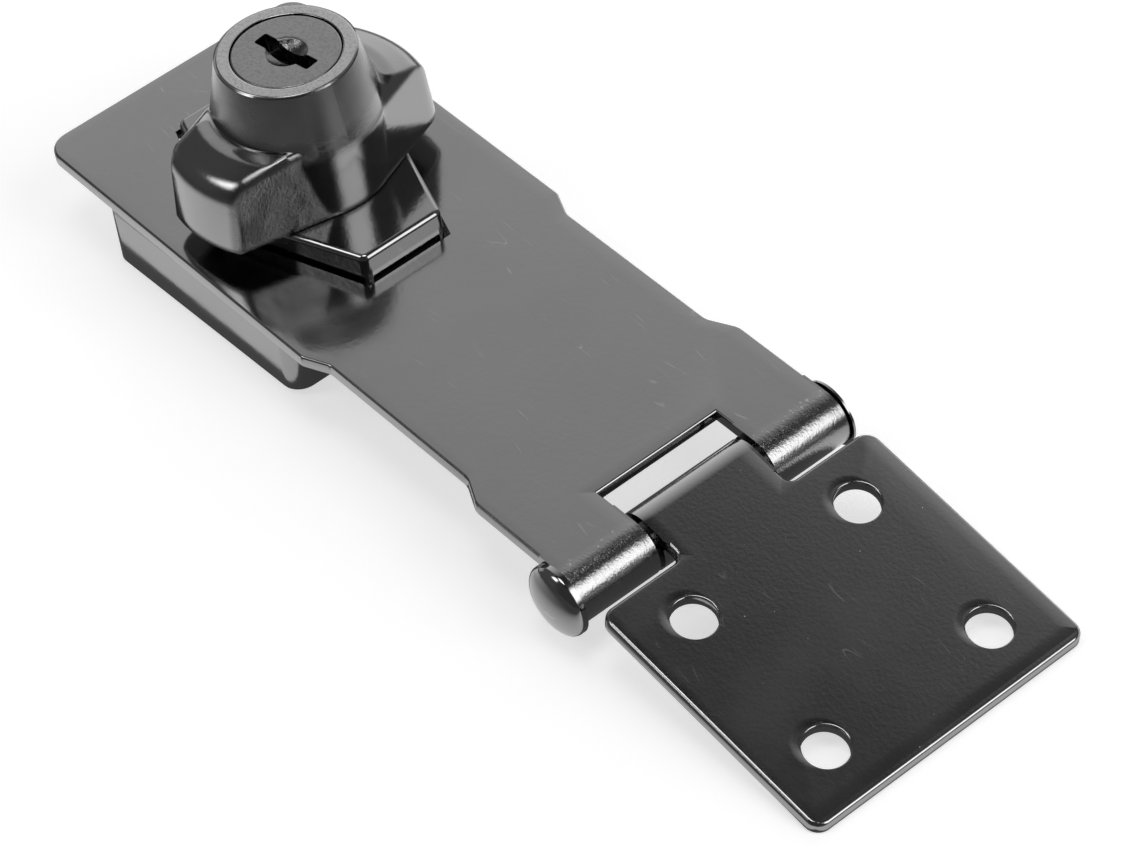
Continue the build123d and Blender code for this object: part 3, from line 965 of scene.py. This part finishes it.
@dataclass(frozen=True)
class Panel:
    """A softbox with soft edges, placed by its direction. Angles are in degrees."""

    azimuth: float
    elevation: float
    half_width: float
    half_height: float
    level: float
    softness: float

    def light(self, sky: Sky) -> Signal:
        """The panel's light.

        Args:
            sky: The directions.

        Returns:
            Its level in each direction, 0 outside it.
        """
        wide = sky.bearing(self.azimuth).within(self.half_width, self.softness)
        high = (sky.height - self.elevation).within(self.half_height, self.softness)
        return wide * high * self.level


@dataclass(frozen=True)
class Window:
    """A wide wall of light behind the part, which fades towards its top. Angles in degrees."""

    azimuth: float = 131.0
    half_width: float = 33.0
    softness: float = 5.0
    foot: float = 10.0
    top: float = 64.5
    level: float = 1.65
    fade: float = 0.65

    def light(self, sky: Sky) -> Signal:
        """The window's light.

        Args:
            sky: The directions.

        Returns:
            Its level in each direction, 0 outside it.
        """
        wide = sky.bearing(self.azimuth).within(self.half_width, self.softness)
        fall = (1.0 - (sky.height - self.foot) / (self.top - self.foot)).held()
        return wide * fall ** self.fade * self.level


@dataclass
class Studio:
    """White table, a wall of light behind, softboxes and dim walls. Angles in degrees."""

    table_size: float = 6.0
    table_hinge: float = -0.015
    table_tilt: float = 1.553
    table_tone: float = 0.6
    table_glow: float = 0.64
    pool_centre: tuple[float, float] = (-0.006, 0.009)
    pool_near: float = 0.028
    pool_far: float = 0.082
    pool_rest: float = 0.09
    pool_lift: float = 1.2
    part_centre: tuple[float, float] = (0.033, 0.0)
    part_half: tuple[float, float] = (0.057, 0.0165)
    rim_near: float = 0.0
    rim_far: float = 0.018
    rim_light: float = 0.85
    shade_edge: float = 0.0004
    shade_level: float = 0.15
    wall_level: float = 0.17
    wall_top: float = 64.0
    wall_fade: float = 8.0
    ceiling_level: float = 0.02
    front_level: float = 0.09
    front: float = -45.0
    front_width: float = 60.0
    front_softness: float = 15.0
    window: Window = Window()
    softboxes: tuple[Panel, ...] = (
        Panel(23.0, 35.0, 18.0, 19.0, 4.2, 7.0),
        Panel(-122.0, 53.0, 12.0, 12.0, 5.0, 5.0),
        Panel(0.0, 90.0, 360.0, 12.0, 5.0, 1.5),
        Panel(178.0, 6.0, 22.0, 14.0, 0.85, 5.0),
    )

    def build(self) -> None:
        """Builds the table and the world."""
        self._table()
        self._world()

    def _table(self) -> None:
        """Lays the table under the base's left edge and the leaf's far edge."""
        half = self.table_size / 2
        mesh = bpy.data.meshes.new("table")
        corners = [(-half, -half, 0), (half, -half, 0), (half, half, 0), (-half, half, 0)]
        mesh.from_pydata(corners, [], [(0, 1, 2, 3)])
        made = bpy.data.objects.new("table", mesh)
        made.location = (self.table_hinge, 0.0, 0.0)
        made.rotation_euler = (0.0, math.radians(self.table_tilt), 0.0)
        bpy.context.scene.collection.objects.link(made)
        mesh.materials.append(self._table_finish())
        log.info("studio: table")

    def _table_finish(self) -> bpy.types.Material:
        """The table's white, with a soft shadow, darker away from the part in reflections.

        Returns:
            The material.
        """
        finish = bpy.data.materials.new("white_table")
        finish.use_nodes = True
        graph = Graph(finish.node_tree)
        mirrored = graph.ray_is("Glossy").most(graph.ray_is("Transmission"))
        shown = graph.ray_is("Camera").most(mirrored)
        centre = (self.pool_centre[0] - self.table_hinge, self.pool_centre[1], 0.0)
        settings, sockets = {"operation": "DISTANCE"}, {0: graph.place(), 1: centre}
        apart = graph.out("ShaderNodeVectorMath", settings, sockets, "Value")
        pool = graph.span(apart, self.pool_near, self.pool_far, 1.0, self.pool_rest, smooth=True)
        beside = self._beside(graph)
        pool = pool.most(beside.under(self.rim_near, self.rim_far) * self.rim_light)
        open_floor = beside.over(0.0, self.shade_edge) * (1.0 - self.shade_level)
        pool = pool * (open_floor + self.shade_level)
        strength = 1.0 - mirrored * (1.0 - pool * self.pool_lift)
        white = graph.blend(strength, BLACK, grey(self.table_tone))
        matt = graph.node("ShaderNodeBsdfDiffuse", {}, {"Color": white})
        light = shown * strength * self.table_glow
        glow = graph.node("ShaderNodeEmission", {}, {"Strength": light})
        both = graph.node("ShaderNodeAddShader", {}, {0: matt.outputs[0], 1: glow.outputs[0]})
        graph.node("ShaderNodeOutputMaterial", {}, {"Surface": both.outputs[0]})
        return finish

    def _beside(self, graph: Graph) -> Signal:
        """The distance of a point of the table from the rectangle that the part covers.

        Args:
            graph: The table's graph.

        Returns:
            The distance in metres, 0 under the part.
        """
        east, north, _ = graph.along(graph.place())
        middle = self.part_centre[0] - self.table_hinge
        ahead = (abs(east - middle) - self.part_half[0]).most(0.0)
        aside = (abs(north - self.part_centre[1]) - self.part_half[1]).most(0.0)
        return ahead.diagonal(aside)

    def _world(self) -> None:
        """Fills the world: white for the camera, and the studio for light and reflections."""
        world = bpy.data.worlds.new("studio")
        bpy.context.scene.world = world
        world.use_nodes = True
        graph = Graph(world.node_tree)
        sky = Sky(graph)
        front = sky.bearing(self.front).within(self.front_width, self.front_softness)
        level = front * (self.front_level - self.wall_level) + self.wall_level
        dark = sky.height.over(self.wall_top - self.wall_fade, self.wall_top + self.wall_fade)
        level = level + dark * (self.ceiling_level - level)
        level = level.most(self.window.light(sky))
        for softbox in self.softboxes:
            level = level.most(softbox.light(sky))
        seen = graph.ray_is("Camera")
        strength = level * (1.0 - seen) + seen
        backing = graph.node("ShaderNodeBackground", {}, {"Strength": strength})
        graph.node("ShaderNodeOutputWorld", {}, {"Surface": backing.outputs[0]})
        log.info("studio: world with a window and %d softboxes", len(self.softboxes))


NICKEL: Colour = (0.315, 0.315, 0.317)
CAST_NICKEL: Colour = (0.28, 0.28, 0.282)
STRAP_PLATE = StrapFinish(
    "strap_plate", NICKEL, 0.135, peel=0.25, peel_size=0.0006,
    pits=0.5, scratches=0.35, roll_depth=0.00004,
)
LEAF_PLATE = LeafFinish(
    "leaf_plate", NICKEL, 0.14, peel=0.25, peel_size=0.0004,
    specks=0.8, scratches=0.35, roll_depth=0.00006,
)
PIN_METAL = MetalFinish("pin_metal", NICKEL, 0.12, peel=0.4, scratches=0.3)
BASE_CASTING = BaseFinish(
    "base_casting", CAST_NICKEL, 0.14, peel=0.4, peel_size=0.0005, cast_waves=0.15, pits=0.6
)
KNOB_CASTING = KnobFinish(
    "knob_casting", CAST_NICKEL, 0.13, peel=0.35, peel_size=0.0004,
    cast_waves=0.2, pits=0.8, pit_spacing=0.0012,
    # the ring's level top is painted lighter than the casting, a painted sheen
    rim_inner=0.0055, rim_outer=0.0069, rim_level=0.0252, top_tone_and_sheen=0.45,
)
PLUG_METAL = PlugFinish(
    "plug_metal", CAST_NICKEL, 0.2, peel=0.8, peel_size=0.0003, pits=0.4, pit_spacing=0.001,
    rim_inner=-1.0, rim_outer=0.00545, rim_level=0.0252,
)
BOLT_STEEL = MetalFinish("bolt_steel", grey(0.5), 0.35, grain=1.0, lay=Lay.ALONG)
SPRING_STEEL = MetalFinish("spring_steel", (0.45, 0.45, 0.46), 0.3, grain=0.6)
WAFER_METAL = MetalFinish("wafer_metal", (0.55, 0.53, 0.49), 0.3, grain=0.8, lay=Lay.ALONG)


def main() -> None:
    """Builds the camera, the studio and every finish."""
    logging.basicConfig(level=logging.INFO, format="%(name)s %(message)s")
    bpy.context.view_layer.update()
    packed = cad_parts
    Camera().build()
    Studio().build()
    edges = SoftEdges()
    plates = {"hasp_strap": STRAP_PLATE, "hinge_leaf": LEAF_PLATE, "hinge_pin": PIN_METAL}
    knob = {"turn_knob": KNOB_CASTING, "stem_washer": SPRING_STEEL, "stem_ring": SPRING_STEEL}
    lock = {"lock_plug": PLUG_METAL, "plug_clip": SPRING_STEEL, "locking_bolt": BOLT_STEEL}
    for name in packed:
        if name.startswith("wafer_"):
            lock[name] = SPRING_STEEL if "spring" in name else WAFER_METAL
    for group in (
        Assembly("strap and leaf", plates),
        Assembly("base", {"lock_base": BASE_CASTING}),
        Assembly("knob", knob, soft=False),
        Assembly("lock", lock),
    ):
        group.dress(packed, edges)
    bpy.context.scene.view_settings.view_transform = "Standard"


if __name__ == "__main__":
    main()
